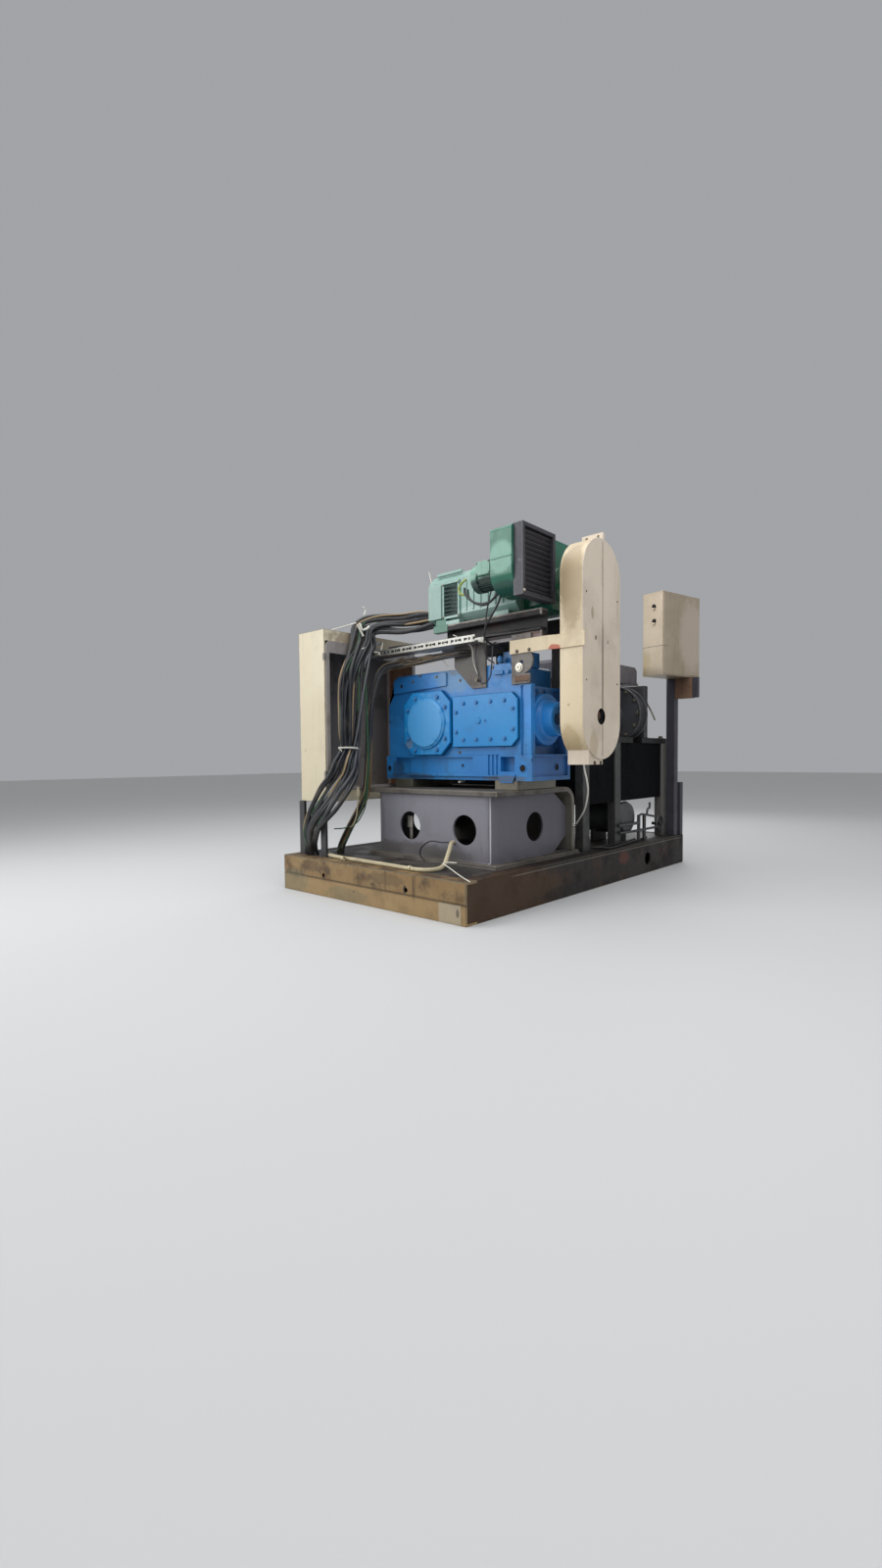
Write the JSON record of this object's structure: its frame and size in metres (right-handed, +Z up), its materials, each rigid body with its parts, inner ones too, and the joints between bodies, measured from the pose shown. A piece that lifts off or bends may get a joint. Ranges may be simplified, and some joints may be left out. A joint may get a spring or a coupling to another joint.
{
  "type": "rolling mill stand with drive",
  "caption": "Roll stand driven by a motor, belts and a large gear unit, built on one steel skid with its cable cabinet and control box.",
  "frame": {"origin": "middle of the skid's underside, in the plane that it stands on", "axes": "+Z up, +Y along the skid from the pedestal towards the roll stand, +X towards the belt guard"},
  "size_m": [1.854, 2.6529, 2.0545],
  "materials": {
    "skid_front_paint": "worn ochre brown paint, rubbed to steel",
    "skid_side_paint": "dark oily paint",
    "deck_steel": "dark oily floor plate",
    "pedestal_paint": "violet grey paint, oil stained",
    "pedestal_plate": "grey paint, worn edges",
    "bare_steel": "oily bare steel",
    "gear_blue": "bright blue enamel over casting",
    "gear_cover_blue": "bright blue enamel",
    "shaft_steel": "turned",
    "guard_cream": "cream paint, yellowed",
    "guard_cover_cream": "cream paint, scuffed",
    "strap_cream": "cream paint with red stain",
    "pulley_iron": "machined grooves",
    "belt_rubber": "matte",
    "bracket_grey": "grey brown primer",
    "rail_brown": "brown primer, oily",
    "motor_green": "pale mint enamel",
    "vent_green": "pale mint enamel",
    "casting_green": "dark green enamel",
    "blower_green": "teal green enamel",
    "blower_motor_green": "green enamel",
    "filter_grey": "dark slate paint",
    "cabinet_cream": "cream paint",
    "cabinet_inner": "dark grey paint",
    "leg_steel": "dark paint",
    "tray_zinc": "perforated galvanised sheet",
    "cable_black": "black sheath",
    "cable_tan": "mixed sheaths",
    "conduit_cream": "aged cream",
    "lead_white": "white sheath",
    "column_steel": "dark grey, oily",
    "panel_black": "black",
    "table_steel": "oily",
    "housing_iron": "oily",
    "chock_iron": "machined",
    "roll_steel": "ground",
    "spindle_steel": "turned, oily",
    "hood_steel": "grey paint",
    "drum_iron": "dark with a bright rim",
    "pump_grey": "grey blue paint",
    "post_paint": "dark blue grey paint",
    "box_stainless": "brushed stainless"
  },
  "bodies": {
    "root": {"skid_front_beam": "skid_front_paint", "skid_rear_beam": "skid_front_paint", "skid_side_beams": "skid_side_paint", "skid_cross_beams": "skid_side_paint", "skid_deck": "deck_steel", "pedestal_base": "pedestal_paint", "pedestal_webs": "pedestal_paint", "pedestal_top": "pedestal_plate", "foot_bars": "bare_steel", "gear_case_foot": "gear_blue", "gear_case": "gear_blue", "bearing_cover": "gear_cover_blue", "inspection_cover": "gear_cover_blue", "input_housing": "gear_blue", "drive_shafts": "shaft_steel", "guard_case": "guard_cream", "guard_covers": "guard_cover_cream", "guard_strap": "strap_cream", "guard_brackets": "guard_cream", "belt_pulleys": "pulley_iron", "drive_belts": "belt_rubber", "platform_brackets": "bracket_grey", "platform_channels": "rail_brown", "motor_body": "motor_green", "motor_vent": "vent_green", "motor_end_block": "casting_green", "blower_scroll": "blower_green", "blower_motor": "blower_motor_green", "intake_filter": "filter_grey", "cabinet_shell": "cabinet_cream", "cabinet_frame": "cabinet_inner", "cabinet_legs": "leg_steel", "cable_tray": "tray_zinc", "power_loom": "cable_black", "control_loom": "cable_tan", "conduit": "conduit_cream", "guard_lead": "lead_white", "stand_columns": "column_steel", "stand_panels": "panel_black", "stand_table": "table_steel", "roll_housings": "housing_iron", "roll_chocks": "chock_iron", "work_rolls": "roll_steel", "roll_spindle": "spindle_steel", "roll_hood": "hood_steel", "flanged_drum": "drum_iron", "pump_unit": "pump_grey", "control_post": "post_paint", "control_box": "box_stainless"}
  },
  "joints": []
}
